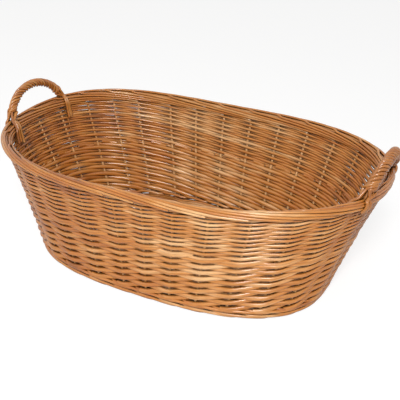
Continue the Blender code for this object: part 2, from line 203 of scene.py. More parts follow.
def length(name, default, description):
    """Return a length setting in metres."""
    return bpy.props.FloatProperty(name=name, description=description, default=default,
                                   min=0.0, unit="LENGTH", subtype="DISTANCE", precision=4)


def share(name, default, description):
    """Return a plain number setting."""
    return bpy.props.FloatProperty(name=name, description=description, default=default)


def count(name, default, least, description):
    """Return a whole number setting."""
    return bpy.props.IntProperty(name=name, description=description, default=default,
                                 min=least)


def angle(name, degrees, description):
    """Return an angle setting."""
    return bpy.props.FloatProperty(name=name, description=description, subtype="ANGLE",
                                   unit="ROTATION", default=math.radians(degrees))


def colour(name, default, description):
    """Return a colour setting."""
    return bpy.props.FloatVectorProperty(name=name, description=description, default=default,
                                         size=3, subtype="COLOR", min=0.0, max=1.0)


class BasketWall(bpy.types.PropertyGroup):
    """Outline of the basket and the thickness of its rods."""

    rim_length: length("Rim length", CAD_HIGH.x - CAD_LOW.x - 0.006, "Length over the border")
    rim_width: length("Rim width", CAD_HIGH.y - CAD_LOW.y + 0.001, "Width over the border")
    foot_length: length("Foot length", 0.522, "Length over the foot wale")
    foot_width: length("Foot width", 0.339, "Width over the foot wale")
    height: length("Height", 0.206, "Height to the top of the border")
    rim_curve: share("Rim curve", 0.83, "1 is an ellipse, lower is squarer")
    foot_curve: share("Foot curve", 0.74, "1 is an ellipse, lower is squarer")
    border_width: length("Border width", 0.019, "Width of the rolled border")
    border_height: length("Border height", 0.0215, "Height of the rolled border")
    stake: length("Stake", 0.0042, "Thickness of a stake")
    stake_tip: length("Stake tip", 0.0043, "Thickness of a stake's tip in the border")
    core: length("Border core", 0.0058, "Thickness of the rods inside the border")
    stake_lean: share("Stake lean", 0.25, "Stake spacings a stake leans over its height")
    droop: share("Droop", 0.2, "How far outer rods sit below inner ones, over their distance")
    bulge: share("Bulge", 0.35, "Radii of a siding rod between it and the stake's face")
    lower_fullness: share("Lower fullness", 1.22, "Thickness of rods over their rows' height")
    upper_fullness: share("Upper fullness", 1.25, "Thickness of rods over their rows' height")
    waist: length("Waist", 0.0025, "How far the wall falls in between foot and border")
    foot_shift: length("Foot shift", 0.0025, "How far the foot stands off to the left")
    wale_rod: length("Wale rod", 0.0054, "Thickness of a foot wale rod")
    wale_height: length("Wale height", 0.0170, "Height of the foot wale")
    block_height: length("Lower block height", 0.1100, "Level where the upper block starts")
    lower_rows: count("Lower rows", 15, 3, "Rows of the lower block")
    upper_rows: count("Upper rows", 21, 3, "Rows of the upper block")
    lower_taper: share("Lower taper", 0.80, "Top row's thickness over the bottom row's")
    upper_taper: share("Upper taper", 0.68, "Top row's thickness over the bottom row's")


class BasketBase(bpy.types.PropertyGroup):
    """Sticks and weave of the base."""

    cross_stick: length("Cross stick", 0.0070, "Thickness of a cross stick")
    long_stick: length("Long stick", 0.0056, "Thickness of a long stick")
    cross_spacing: length("Cross spacing", 0.050, "Distance between cross sticks")
    long_spacing: length("Long spacing", 0.0056, "Distance between long sticks")
    level: length("Stick level", 0.0076, "Height of the sticks' middle")
    rounds: count("Rounds", 42, 4, "Rounds of weave in the base")


class BasketHandles(bpy.types.PropertyGroup):
    """Bows and roping of the two handles."""

    spread: share("Spread", 1.22, "Stake spacings from the end to a leg")
    right_spread: share("Right spread", 1.36, "The same for the front leg of the right bow")
    right_size: share("Right size", 1.18, "Thickness of the right bow over the left one")
    shift: share("Shift", 0.12, "Stake spacings the legs stand off the end")
    rise: length("Rise", 0.044, "Height of the bow's middle over the rim")
    lean: length("Lean", 0.008, "How far the bow leans outwards")
    depth: length("Leg depth", 0.060, "How deep a leg reaches into the siding")
    clear: length("Clear", 0.022, "Length of a leg below the first turn of the roping")
    filler: length("Filler", 0.050, "Length of leg up to the end of a short strand")
    bow: length("Bow", 0.0060, "Thickness of the bow")
    strand: length("Strand", 0.0046, "Thickness of a roping strand")
    strands: count("Strands", 5, 2, "Strands round the bow")
    fillers: count("Fillers", 4, 0, "Short strands that fill each foot")
    lead: length("Lead", 0.036, "Length of one turn of a strand")


class WillowFinish(bpy.types.PropertyGroup):
    """Colours, varnish, painted light and painted shade of the buff willow."""

    pale: colour("Pale", (0.80, 0.46, 0.20), "Palest rods")
    tan: colour("Tan", (0.58, 0.23, 0.045), "Most rods")
    orange: colour("Orange", (0.50, 0.165, 0.024), "Warm rods")
    brown: colour("Brown", (0.32, 0.10, 0.018), "Darkest rods")
    streak: colour("Streak", (0.30, 0.10, 0.03), "Dark streaks and scars")
    pith: colour("Pith", (0.80, 0.60, 0.36), "Cut ends")
    roughness: share("Roughness", 0.48, "Roughness of the varnished bark side")
    # Painted light: a broad painted highlight pales the middle, and the ends are painted
    # warmer
    fade: share("Fade", 0.13, "How far the middle is paler, and the ends warmer, in tone")
    # Painted shade, not a real varnish: width of the gaps between rods that are darkened to
    # stand in for shade
    crease_shade_width: length("Crease", 0.012, "Width of the gaps that gather dark varnish")


class BasketStage(bpy.types.PropertyGroup):
    """Floor, light all round and camera."""

    floor: colour("Floor", (0.90, 0.90, 0.90), "Colour of the floor")
    light: share("Light", 0.35, "Strength of the light all round")
    azimuth: angle("Azimuth", 25.52, "Camera's turn round the basket")
    elevation: angle("Elevation", 26.80, "Camera's angle above the floor")
    roll: angle("Roll", 1.60, "Camera's tilt")
    distance: length("Distance", 1.2599, "From the camera to its target")
    lens: share("Lens", 65.88, "Focal length in millimetres")
    target: bpy.props.FloatVectorProperty(name="Target", subtype="TRANSLATION",
                                          unit="LENGTH", default=(0.0184, 0.0072, 0.1003),
                                          description="Point the camera looks at")


def settings(group):
    """Return one group of the scene's settings."""
    return getattr(bpy.context.scene, group)


def nodes_named(*starts):
    """Return the part's nodes whose names start with one of some words."""
    return [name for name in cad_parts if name.startswith(starts)]


# Wall

class Oval:
    """A level superellipse, walked by the share of its own length."""

    # Share of its length, to either side, over which the oval's direction is measured
    REACH = 0.004

    def __init__(self, half_length, half_width, curve):
        angles = np.linspace(0, 2 * math.pi, 2881)
        self.x = np.copysign(np.abs(np.cos(angles)) ** curve * half_length, np.cos(angles))
        self.y = np.copysign(np.abs(np.sin(angles)) ** curve * half_width, np.sin(angles))
        steps = np.hypot(np.diff(self.x), np.diff(self.y))
        self.run = np.concatenate(([0], np.cumsum(steps)))
        self.run /= self.run[-1]

    def at(self, shares):
        """Return points at shares of the length, counted from the right-hand end."""
        shares = np.mod(shares, 1.0)
        return np.column_stack((np.interp(shares, self.run, self.x),
                                np.interp(shares, self.run, self.y)))

    def outward(self, shares):
        """Return level directions squarely off the oval."""
        along = self.at(shares + self.REACH) - self.at(shares - self.REACH)
        out = np.column_stack((along[:, 1], -along[:, 0]))
        return out / np.linalg.norm(out, axis=1)[:, None]


def closed_curve(millimetres):
    """Return a smooth closed curve through even places, in metres, at RIM_STEPS + 1 places."""
    waves = np.fft.rfft(millimetres)
    waves[-1] /= 2  # The shortest wave would count twice in the finer curve
    curve = np.fft.irfft(waves, RIM_STEPS) * RIM_STEPS / len(millimetres) / 1000
    return np.append(curve, curve[0])


class Wall:
    """The wall's middle surface between the foot and the rim."""

    def __init__(self):
        s = settings("basket_wall")
        reach = s.stake / 2 + s.wale_rod
        self.foot = Oval(s.foot_length / 2 - reach, s.foot_width / 2 - reach, s.foot_curve)
        self.foot.x = self.foot.x - s.foot_shift
        self.rim = Oval((s.rim_length - s.border_width) / 2,
                        (s.rim_width - s.border_width) / 2, s.rim_curve)
        self.border_level = s.height - s.border_height / 2
        self.lean, self.waist = s.stake_lean, s.waist
        self.push, self.lift = closed_curve(RIM_PUSH), closed_curve(RIM_LIFT)

    def stake_place(self, steps, levels):
        """Return places round the wall for stake numbers, leaning as the stakes do."""
        shifts = np.interp(np.mod(steps, STAKES), np.arange(STAKES + 1),
                           STAKE_SHIFTS + STAKE_SHIFTS[:1])
        return steps + shifts + self.lean * np.asarray(levels) / self.border_level

    def point(self, places, levels, offsets, square=0.0):
        """Return points at places round the wall, at a level, offset outwards.

        Square 1 offsets them squarely off the sloping wall, and 0 levelly.
        """
        places, levels, offsets = np.broadcast_arrays(
            np.asarray(places, float), np.asarray(levels, float), np.asarray(offsets, float))
        shares = places / STAKES
        height = levels / self.border_level
        rise = height[:, None]
        spots = np.mod(shares, 1) * RIM_STEPS
        push = height * np.interp(spots, np.arange(RIM_STEPS + 1), self.push)
        push = push - self.waist * np.sin(math.pi * np.clip(height, 0, 1))
        lift = height * np.interp(spots, np.arange(RIM_STEPS + 1), self.lift)
        foot, rim = self.foot.at(shares), self.rim.at(shares)
        out = self.foot.outward(shares) * (1 - rise) + self.rim.outward(shares) * rise
        out /= np.linalg.norm(out, axis=1)[:, None]
        slope = square * ((rim - foot) * out).sum(axis=1) / self.border_level
        offsets = offsets / np.hypot(1, slope)
        spot = foot * (1 - rise) + rim * rise + out * (offsets + push)[:, None]
        return np.column_stack((spot, levels + lift - slope * offsets))


def smooth(knots, steps):
    """Return rows on a smooth curve through rows of knots."""
    knots = np.asarray(knots, float)
    slopes = np.vstack((knots[1] - knots[0], (knots[2:] - knots[:-2]) / 2,
                        knots[-1] - knots[-2]))
    t = np.linspace(0, 1, steps, endpoint=False)[:, None]
    rows = []
    for a, b, m, n in zip(knots, knots[1:], slopes, slopes[1:]):
        rows.append((2 * t**3 - 3 * t**2 + 1) * a + (t**3 - 2 * t**2 + t) * m
                    + (3 * t**2 - 2 * t**3) * b + (t**3 - t**2) * n)
    return np.vstack(rows + [knots[-1:]])


def section(degrees, across, up):
    """Return levels and distances outwards at degrees round an oval section."""
    angles = np.radians(degrees)
    return up * np.sin(angles), across * np.cos(angles)


# Rods

class Rod:
    """One willow rod: the points of its middle line, its radii, and its tint."""

    def __init__(self, points, radii, tint=None):
        points = np.asarray(points, float)
        radii = np.broadcast_to(np.asarray(radii, float), len(points)).copy()
        start, end = points[0] - points[1], points[-1] - points[-2]
        start = points[0] + start / np.linalg.norm(start) * END_BULGE
        end = points[-1] + end / np.linalg.norm(end) * END_BULGE
        self.points = np.vstack((start, points, end))
        self.radii = np.concatenate(([0], radii, [0]))
        if tint is None:
            tint = np.clip(random.normal(ROD_TINT, ROD_TINT_SPREAD), 0, 1)
        self.tint = np.pad(np.broadcast_to(tint, len(points)), 1, "edge")
        self.offset = random.uniform(0, 8, 3)


def wobble(steps, size, waves=1.0):
    """Return a small smooth hand-made waver along a rod."""
    phases = random.uniform(0, 2 * math.pi, 3)
    rates = WAVER_RATES * waves
    return size * sum(np.sin(steps * rate + phase) for rate, phase in zip(rates, phases)) / 2


def tube_mesh(name, rods, sides):
    """Return one mesh of open tubes round the lines of the rods."""
    curve = bpy.data.curves.new(name, "CURVE")
    curve.dimensions = "3D"
    curve.twist_mode = "MINIMUM"
    curve.bevel_depth = 1.0
    curve.bevel_resolution = sides // 2 - 2
    curve.use_fill_caps = False
    for rod in rods:
        spline = curve.splines.new("POLY")
        spline.points.add(len(rod.points) - 1)
        rows = np.column_stack((rod.points, np.ones(len(rod.points))))
        spline.points.foreach_set("co", rows.ravel())
        spline.points.foreach_set("radius", rod.radii)
    holder = bpy.data.objects.new(name, curve)
    mesh = bpy.data.meshes.new_from_object(holder)
    bpy.data.objects.remove(holder)
    bpy.data.curves.remove(curve)
    return mesh


def ring_values(rods, sides):
    """Return the place in the grain, the tint and the pith of every point of the tubes."""
    places, tints, ends = [], [], []
    angles = np.arange(sides) * 2 * math.pi / sides
    for rod in rods:
        steps = np.linalg.norm(np.diff(rod.points, axis=0), axis=1)
        along = np.concatenate(([0], np.cumsum(steps)))
        around = np.maximum(rod.radii, 1e-6)
        rows = np.stack((np.repeat(along, sides),
                         np.outer(around, np.cos(angles)).ravel(),
                         np.outer(around, np.sin(angles)).ravel()), axis=1)
        places.append(rows + rod.offset)
        tints.append(np.repeat(rod.tint, sides))
        pith = np.zeros(len(rod.points))
        pith[[0, -1]] = 1
        ends.append(np.repeat(pith, sides))
    return map(np.concatenate, (places, tints, ends))


def close_ends(mesh, tips):
    """Join the points of each tube's end rings, and smooth the tubes."""
    bm = bmesh.new()
    bm.from_mesh(mesh)
    bm.verts.ensure_lookup_table()
    bmesh.ops.remove_doubles(bm, verts=[bm.verts[i] for i in tips], dist=1e-7)
    bmesh.ops.recalc_face_normals(bm, faces=bm.faces)
    for face in bm.faces:
        face.smooth = True
    bm.to_mesh(mesh)
    bm.free()
    mesh.set_sharp_from_angle(angle=math.radians(60))


def rod_mesh(name, rods, sides):
    """Return one mesh of round rods, with the attributes their material reads."""
    mesh = tube_mesh(name, rods, sides)
    places, tints, ends = ring_values(rods, sides)
    if len(places) != len(mesh.vertices):
        raise RuntimeError(f"{name}: the rods have {len(places)} ring points and their mesh "
                           f"{len(mesh.vertices)}")
    for label, kind, key, values in (("rod", "FLOAT_VECTOR", "vector", places),
                                     ("tint", "FLOAT", "value", tints),
                                     ("pith", "FLOAT", "value", ends)):
        attribute = mesh.attributes.new(label, kind, "POINT")
        attribute.data.foreach_set(key, values.astype(np.float32).ravel())
    close_ends(mesh, np.flatnonzero(ends > 0))
    return mesh


def add_piece(name, rods, nodes):
    """Put a piece of rods in the scene, riding on the basket."""
    slot, sides, *finish = PIECES[name]
    old = bpy.data.objects.get(name)
    if old:
        bpy.data.objects.remove(old)
    piece = bpy.data.objects.new(name, rod_mesh(name, rods, sides))
    bpy.context.scene.collection.objects.link(piece)
    piece.data.materials.append(willow(f"{name}_finish", *finish))
    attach(piece, "root")
    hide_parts(*nodes)


# Materials

def grey(value):
    """Return a grey colour."""
    return (value, value, value)


class Nodes:
    """Shader nodes of one material or world."""

    def __init__(self, owner):
        owner.use_nodes = True
        self.tree = owner.node_tree

    def add(self, kind, **values):
        """Return a new node with some of its values set."""
        made = self.tree.nodes.new(f"ShaderNode{kind}")
        for key, value in values.items():
            setattr(made, key, value)
        return made

    def feed(self, socket, value):
        """Link an output to a socket, or set the socket to a value."""
        if isinstance(value, bpy.types.NodeSocket):
            self.tree.links.new(value, socket)
        elif socket.type == "RGBA":
            socket.default_value = (*value, 1)
        else:
            socket.default_value = value

    def fill(self, node, values):
        """Feed the sockets of a node by their names, and return the node."""
        for label, value in values.items():
            self.feed(node.inputs[label], value)
        return node

    def attribute(self, label, output="Fac"):
        """Return an attribute of the mesh."""
        return self.add("Attribute", attribute_name=label).outputs[output]

    def math(self, operation, *values):
        """Return a sum or another operation on numbers."""
        made = self.add("Math", operation=operation)
        for socket, value in zip(made.inputs, values):
            self.feed(socket, value)
        return made.outputs[0]

    def stretched(self, vector, scale):
        """Return a vector stretched along its axes."""
        return self.fill(self.add("Mapping"), {"Scale": scale, "Vector": vector}).outputs[0]

    def noise(self, vector, scale, stretch, detail):
        """Return noise, stretched along the vector's axes."""
        return self.fill(self.add("TexNoise"), {
            "Scale": scale, "Detail": detail,
            "Vector": self.stretched(vector, stretch)}).outputs["Fac"]

    def mix(self, blend, factor, a, b):
        """Return two colours blended."""
        made = self.add("Mix", data_type="RGBA", blend_type=blend)
        for number, value in ((0, factor), (6, a), (7, b)):
            self.feed(made.inputs[number], value)
        return made.outputs[2]

    def ramp(self, value, *stops):
        """Return the colour that a value picks from stops of place and colour."""
        made = self.add("ValToRGB")
        band = made.color_ramp
        while len(band.elements) < len(stops):
            band.elements.new(0.5)
        for element, (place, tone) in zip(band.elements, stops):
            element.position = place
            element.color = (*tone, 1)
        self.feed(made.inputs[0], value)
        return made.outputs[0]

    def blend(self, factor, a, b, output):
        """Send two shaders blended to the output node."""
        made = self.add("MixShader")
        for number, value in enumerate((factor, a.outputs[0], b.outputs[0])):
            self.feed(made.inputs[number], value)
        self.feed(self.tree.nodes[output].inputs[0], made.outputs[0])


def painted_light_fading(nodes, place, fade):
    """Return painted light: the tone taken off in the basket's middle as a broad painted
    highlight, and added at its ends, which are painted warmer and darker.
    """
    across = nodes.add("VectorMath", operation="DOT_PRODUCT")
    nodes.feed(across.inputs[0], place)
    nodes.feed(across.inputs[1], (1.0, 0.5, 0.0))
    aside = nodes.math("SUBTRACT", across.outputs["Value"], 0.05)
    return nodes.fill(nodes.add("MapRange"), {
        "Value": nodes.math("ABSOLUTE", aside), "From Min": 0.05, "From Max": 0.27,
        "To Min": -fade, "To Max": 1.4 * fade}).outputs[0]


def bud_scars(nodes, rod):
    """Return how much of a bud scar shows."""
    cells = nodes.fill(nodes.add("TexVoronoi"),
                       {"Vector": nodes.stretched(rod, (16, 150, 150))})
    return nodes.ramp(cells.outputs["Distance"], (0.0, grey(1)), (0.10, grey(0.7)),
                      (0.16, grey(0)))


def painted_crease_shade(nodes, width):
    """Return painted shade that darkens the gaps between rods, and how much of it the tint
    lets show: less on the pale stakes.
    """
    # Painted shade: ambient occlusion darkens the rods where they lie close to others
    near = nodes.add("AmbientOcclusion", samples=6)
    nodes.feed(near.inputs["Distance"], width)
    dark = nodes.ramp(near.outputs["AO"], (0.20, grey(0.12)), (0.64, grey(1.0)))
    return dark, nodes.ramp(nodes.attribute("tint"), (0.05, grey(0.25)), (0.30, grey(1.0)))


def willow_tone(nodes, f, rod, streaks, shift):
    """Return the tone: the rod's tint, changed by streaks, patches and mottling, and by
    painted light that pales the basket's middle.
    """
    place = nodes.add("TexCoord").outputs["Object"]
    patches = nodes.noise(rod, 1.0, (9, 60, 60), 2)
    mottle = nodes.noise(place, 22, (1, 1, 1), 2)
    tone = nodes.math("ADD", nodes.attribute("tint"), shift)
    # Painted light: paler in the basket's middle, warmer at its ends
    tone = nodes.math("ADD", tone, painted_light_fading(nodes, place, f.fade))
    for source, weight in ((streaks, 0.55), (patches, 1.0), (mottle, 0.7)):
        part = nodes.math("MULTIPLY", nodes.math("SUBTRACT", source, 0.5), weight)
        tone = nodes.math("ADD", tone, part)
    return tone


def willow_colour(nodes, f, tone, grain, streaks, scars):
    """Return the colour of a tone with its grain, scars, dark streaks and cut ends."""
    base = nodes.ramp(tone, (0.0, f.pale), (0.38, f.tan), (0.72, f.orange), (1.0, f.brown))
    fine = nodes.ramp(grain, (0.30, grey(0.72)), (0.62, grey(1.08)))
    base = nodes.mix("MULTIPLY", 1.0, base, fine)
    base = nodes.mix("MIX", nodes.math("MULTIPLY", scars, 0.6), base, f.streak)
    dark = nodes.ramp(streaks, (0.62, grey(0)), (0.78, grey(0.55)))
    base = nodes.mix("MIX", dark, base, f.streak)
    return nodes.mix("MIX", nodes.attribute("pith"), base, f.pith)


def willow(name, shift, shade, gloss):
    """Return buff willow: streaked along the rod, mottled, with small bud scars."""
    f = settings("willow_finish")
    material = bpy.data.materials.new(name)
    nodes = Nodes(material)
    rod = nodes.attribute("rod", "Vector")
    grain = nodes.noise(rod, 1.0, (45, 1500, 1500), 4)
    streaks = nodes.noise(rod, 1.0, (14, 420, 420), 3)
    scars = bud_scars(nodes, rod)
    tone = willow_tone(nodes, f, rod, streaks, shift)
    base = willow_colour(nodes, f, tone, grain, streaks, scars)
    # Painted shade in the gaps between rods, less of it on the pale stakes
    gaps, depth = painted_crease_shade(nodes, f.crease_shade_width)
    base = nodes.mix("MULTIPLY", depth, base, gaps)
    base = nodes.mix("MULTIPLY", 1.0, base, grey(shade))
    rough = nodes.fill(nodes.add("MapRange"), {
        "Value": streaks, "To Min": f.roughness - 0.08 - gloss,
        "To Max": f.roughness + 0.18 - gloss})
    height = nodes.math("SUBTRACT", nodes.math("ADD", grain, streaks),
                        nodes.math("MULTIPLY", scars, 0.8))
    bump = nodes.fill(nodes.add("Bump"), {"Strength": 0.35, "Distance": 0.0004,
                                          "Height": height})
    nodes.fill(nodes.tree.nodes["Principled BSDF"], {
        "Base Color": base, "Roughness": rough.outputs[0], "Normal": bump.outputs[0],
        "IOR": 1.42, "Specular IOR Level": 0.12, "Coat Weight": 1.0, "Coat IOR": 1.55,
        "Coat Roughness": 0.27})
    return material


# Weaving

def stake_rods(wall):
    """Return the stakes: foot in the base, up the wall, and laid down in the border."""
    s = settings("basket_wall")
    radius, tip = s.stake / 2, s.stake_tip / 2
    up = s.border_height / 2 - tip
    standing = np.linspace(STAND_LEVEL, wall.border_level - up - STAND_DEPTH, STAND_KNOTS)
    spaces, degrees = np.transpose(BORDER_LAP)
    levels, offsets = section(degrees, s.border_width / 2 - tip, up)
    rods = []
    for number in range(STAKES):
        push = random.uniform(-LAP_STRAY, LAP_STRAY)
        knots = [(number, level, offset) for level, offset in STAKE_FOOT]
        knots += [(number, level, 0) for level in standing]
        knots += list(zip(number + spaces + push * np.minimum(1, spaces),
                          wall.border_level + levels, offsets))
        rows = smooth(knots, CURVE_STEPS)
        points = wall.point(wall.stake_place(rows[:, 0], rows[:, 1]), rows[:, 1], rows[:, 2])
        # The thickness changes to the tip's within the border
        change = np.clip(np.linspace(-0.9, 1, len(rows)), 0, 1)
        laid = np.clip((rows[:, 0] - number) / LAP_CHANGE, 0, 1)
        tint = (STAKE_TINT + (LAID_TINT - STAKE_TINT) * laid
                + random.normal(0, ROD_TINT_SPREAD))
        rods.append(Rod(points, radius + (tip - radius) * change, tint))
    return rods


def core_rods(wall):
    """Return the rods that the border is rolled round."""
    s = settings("basket_wall")
    across, up = (s.border_width - s.core) / 4, (s.border_height - s.core) / 4
    rods = []
    for number in range(CORE_RODS):
        steps = np.linspace(0, STAKES, STAKES * CURVE_STEPS + 1) + number * CORE_STEP
        turn = number * CORE_TURN + CORE_TWIST * steps
        rods.append(Rod(wall.point(steps, wall.border_level + up * np.sin(turn),
                                   across * np.cos(turn)), s.core / 2))
    return rods


def swing(steps):
    """Return how far a rod stands before (1) or behind (-1) the stakes it passes."""
    return np.arcsin(SWING * np.cos(steps * math.pi)) / math.asin(SWING)


def siding_rods(wall, bottom, top, rows, taper, before, after, fullness):
    """Return one block of French randing: a rod from every stake, each a row up per stake.

    Before and after are the spacings that a rod reaches before its first row's stake and
    past its last one's.
    """
    s = settings("basket_wall")
    first = 2 * (top - bottom) / (rows * (1 + taper))
    slope = (taper - 1) * first / rows
    rods = []
    for number in range(STAKES):
        end = rows - 1 + after + random.uniform(-0.12, 0.12)
        steps = np.linspace(-before + random.uniform(-0.05, 0.05), end,
                            int((rows + before + after) * 10))
        pitch = first + slope * (steps + 0.5)
        radii = pitch / 2 * fullness * random.uniform(*SIDING_SIZES)
        levels = bottom + first * (steps + 0.5) + slope * (steps + 0.5) ** 2 / 2
        levels = levels + wobble(steps, WAVER)
        offsets = (s.stake / 2 + s.bulge * radii) * swing(steps) + wobble(steps, WAVER, 1.4)
        places = wall.stake_place(number + steps, levels)
        rods.append(Rod(wall.point(places, levels - s.droop * offsets, offsets, 1.0), radii))
    return rods


def wale_drop(beat):
    """Return how high a wale rod lies within its round, over its beat of three stakes."""
    drop = np.where(beat < WALE_SINK, 0.5 - beat / WALE_SINK,
                    -0.5 + (beat - WALE_SINK) / (1 - WALE_SINK))
    return np.convolve(np.pad(drop, 2, "edge"), np.ones(5) / 5, "valid")


def wale_rods(wall):
    """Return two rounds of three-rod wale: before two stakes, behind one."""
    s = settings("basket_wall")
    radius = s.wale_rod / 2
    rods = []
    for turn in range(2):
        for rod in range(3):
            start = rod + turn
            steps = np.arange(start, start + STAKES + 0.6, 0.1)
            beat = np.mod(steps - rod, 3) / 3
            around = np.cos(2 * math.pi * (beat - 0.5))
            outside = (s.stake / 2 + radius) * np.tanh(WALE_SHARP * around + WALE_OUT)
            levels = (radius + 2 * FLOOR_ROOM + s.wale_height / 2 * (turn + WALE_START)
                      + wale_drop(beat) * s.wale_rod * WALE_CLIMB)
            levels = np.maximum(levels, radius + FLOOR_ROOM) + wobble(steps, FLOOR_ROOM)
            places = wall.stake_place(steps, levels)
            rods.append(Rod(wall.point(places, levels, outside), radius))
    return rods


def base_ends(wall):
    """Return core point, edge point and radius of the base sticks' ends, in order."""
    s, b = settings("basket_wall"), settings("basket_base")
    half_core = CROSS_STICKS[-1] * b.cross_spacing + b.cross_stick / 2 + CORE_ROOM
    half_slot = b.long_spacing + b.long_stick / 2 - SLOT_BITE
    reach = s.stake / 2 + s.wale_rod * EDGE_ROOM

    def end(x, y, stake, thick):
        edge = wall.point([stake], [0.0], [-reach])[0, :2]
        return np.array((x, y)), edge, thick / 2

    ends = []
    for side, middle in ((1, 0), (-1, STAKES / 2)):
        ends += [end(side * half_core, side * k * b.long_spacing, middle + k, b.long_stick)
                 for k in LONG_STICKS]
        ends += [end(-side * k * b.cross_spacing, side * half_slot,
                     middle + STAKES / 4 + 2 * k, b.cross_stick) for k in CROSS_STICKS]
    return ends


def stick_rods(wall):
    """Return the sticks of the base."""
    level = settings("basket_base").level
    ends = base_ends(wall)
    long, half = len(LONG_STICKS), len(ends) // 2
    pairs = list(zip(ends[:long], reversed(ends[half:half + long])))
    pairs += zip(ends[long:half], reversed(ends[half + long:]))
    rods = []
    for near, far in pairs:
        corners = (near[1], near[0], far[0], far[1])
        points = [a + (c - a) * t for a, c in zip(corners, corners[1:]) for t in STICK_KNOTS]
        knots = [(*point, level) for point in (*points, far[1])]
        rods.append(Rod(smooth(knots, SHORT_STEPS), near[2]))
    return rods


def base_rods(wall):
    """Return the weave of the base: two rods chased round, over and under the sticks."""
    b = settings("basket_base")
    cores, edges, radii = map(np.array, zip(*base_ends(wall)))
    ends = len(radii)
    rods = []
    for chase in range(2):
        numbers = np.arange(-chase * ends // 2, ends * b.rounds // 2)
        turns = (numbers / ends * 2 + chase + 0.5) / b.rounds
        spot = np.mod(numbers, ends)
        spoke = edges[spot] - cores[spot]
        middle = cores[spot] + spoke * turns[:, None]
        own = np.linalg.norm(spoke, axis=1) / b.rounds / 2 * BASE_FULLNESS
        side = np.where((numbers + chase) % 2 == 0, 1, -1)
        level = b.level + side * (radii[spot] * STICK_SHARE + own * ROD_SHARE)
        rows = smooth(np.column_stack((middle, level, own)), CURVE_STEPS)
        for first in range(0, len(rows) - 1, BASE_POINTS):
            piece = rows[first:first + BASE_POINTS + 1]
            rods.append(Rod(piece[:, :3], piece[:, 3]))
    return rods


# Handles

def bow_line(wall, sign):
    """Return a bow's two leg places, its arch, and the normal of the arch's plane."""
    s, h = settings("basket_wall"), settings("basket_handles")
    middle = h.shift * sign + (0 if sign > 0 else STAKES / 2)
    legs = (middle - (h.right_spread if sign > 0 else h.spread), middle + h.spread)
    feet = wall.point(legs, wall.border_level, 0)
    centre = feet.mean(axis=0)
    half = (feet[1] - feet[0]) / 2
    end = wall.rim.at(np.array([middle / STAKES]))[0, 0] + sign * h.lean
    rise = np.array((end, centre[1], s.height + h.rise)) - centre
    angles = np.linspace(0, math.pi, ARCH_POINTS)[:, None]
    arch = centre - half * np.cos(angles) + rise * np.sin(angles)
    flat = np.cross(half, rise)
    return legs, arch, flat / np.linalg.norm(flat)


def bow_rods(wall, sign):
    """Return the bent rod in the middle of a handle, its legs beside two stakes."""
    h = settings("basket_handles")
    legs, arch, _ = bow_line(wall, sign)
    levels = wall.border_level - np.linspace(h.depth, LEG_TOP, LEG_POINTS)
    inner = [wall.point(np.full(LEG_POINTS, leg), levels, 0) for leg in legs]
    line = np.vstack((inner[0], arch, inner[1][::-1]))
    thick = h.bow * (h.right_size if sign > 0 else 1)
    radii = np.full(len(line), thick / 2)
    taper = np.linspace(*LEG_TAPER, LEG_POINTS) * thick / 2
    radii[:LEG_POINTS] = taper
    radii[-LEG_POINTS:] = taper[::-1]
    return [Rod(line, radii, BOW_TINT)]


def tail(wall, leg, away, inside, order):
    """Return the points of a strand's tail over the border.

    Away is 1 or -1 along the border, off the bow's middle, and order is the strand's place
    across the fan, from 0 to 1.
    """
    s, h = settings("basket_wall"), settings("basket_handles")
    radius = h.strand / 2 - TAIL_BITE
    front = wall.rim.at(np.array([leg / STAKES]))[0, 1] < 0
    reach = NEAR_FAN if front else FAR_FAN
    levels, offsets = section(INNER_TAIL if inside else OUTER_TAIL,
                              s.border_width / 2 + radius, s.border_height / 2 + radius)
    fan = away * (reach * order - FAN_STRAY if inside else OUTER_START - OUTER_FAN * order)
    drift = (fan * np.linspace(0.45, 1.0, len(levels))
             + random.uniform(-FAN_STRAY, FAN_STRAY))
    knots = wall.point(leg + drift, wall.border_level + levels, offsets)
    if inside:
        depth = random.uniform(*TAIL_DEPTH)
        hang = wall.point(leg + drift[-1] * np.array(TAIL_WIDENING),
                          wall.border_level - np.array(TAIL_SHARES) * depth, TAIL_OFFSETS)
        knots = np.vstack((knots, hang))
    return knots


class Rope:
    """The lay of strands round a bow."""

    def __init__(self, wall, sign):
        self.wall = wall
        self.legs, self.arch, self.flat = bow_line(wall, sign)
        steps = np.linalg.norm(np.diff(self.arch, axis=0), axis=1)
        self.run = np.concatenate(([0], np.cumsum(steps)))

    def wind(self, stations, phase, lift):
        """Return points wound round the bow, and their directions off its middle line."""
        middle = np.column_stack([np.interp(stations, self.run, self.arch[:, k])
                                  for k in range(3)])
        along = np.gradient(middle, stations, axis=0)
        along /= np.linalg.norm(along, axis=1)[:, None]
        lead = settings("basket_handles").lead
        spin = 2 * math.pi * (stations / lead + phase) + wobble(stations * 90, 0.10)
        turn = (self.flat * np.cos(spin)[:, None]
                + np.cross(along, self.flat) * np.sin(spin)[:, None])
        return middle + turn * np.reshape(lift, (-1, 1)), turn

    def tail(self, foot, turn):
        """Return the tail that leaves the rope in a direction at foot 0 or 1."""
        leg = self.legs[foot]
        away = 1 if foot else -1
        out = self.wall.rim.outward(np.array([leg / STAKES]))[0]
        lean = (turn[1] * out[0] - turn[0] * out[1]) * away
        return tail(self.wall, leg, away, turn[:2] @ out < 0, (1 + lean) / 2)


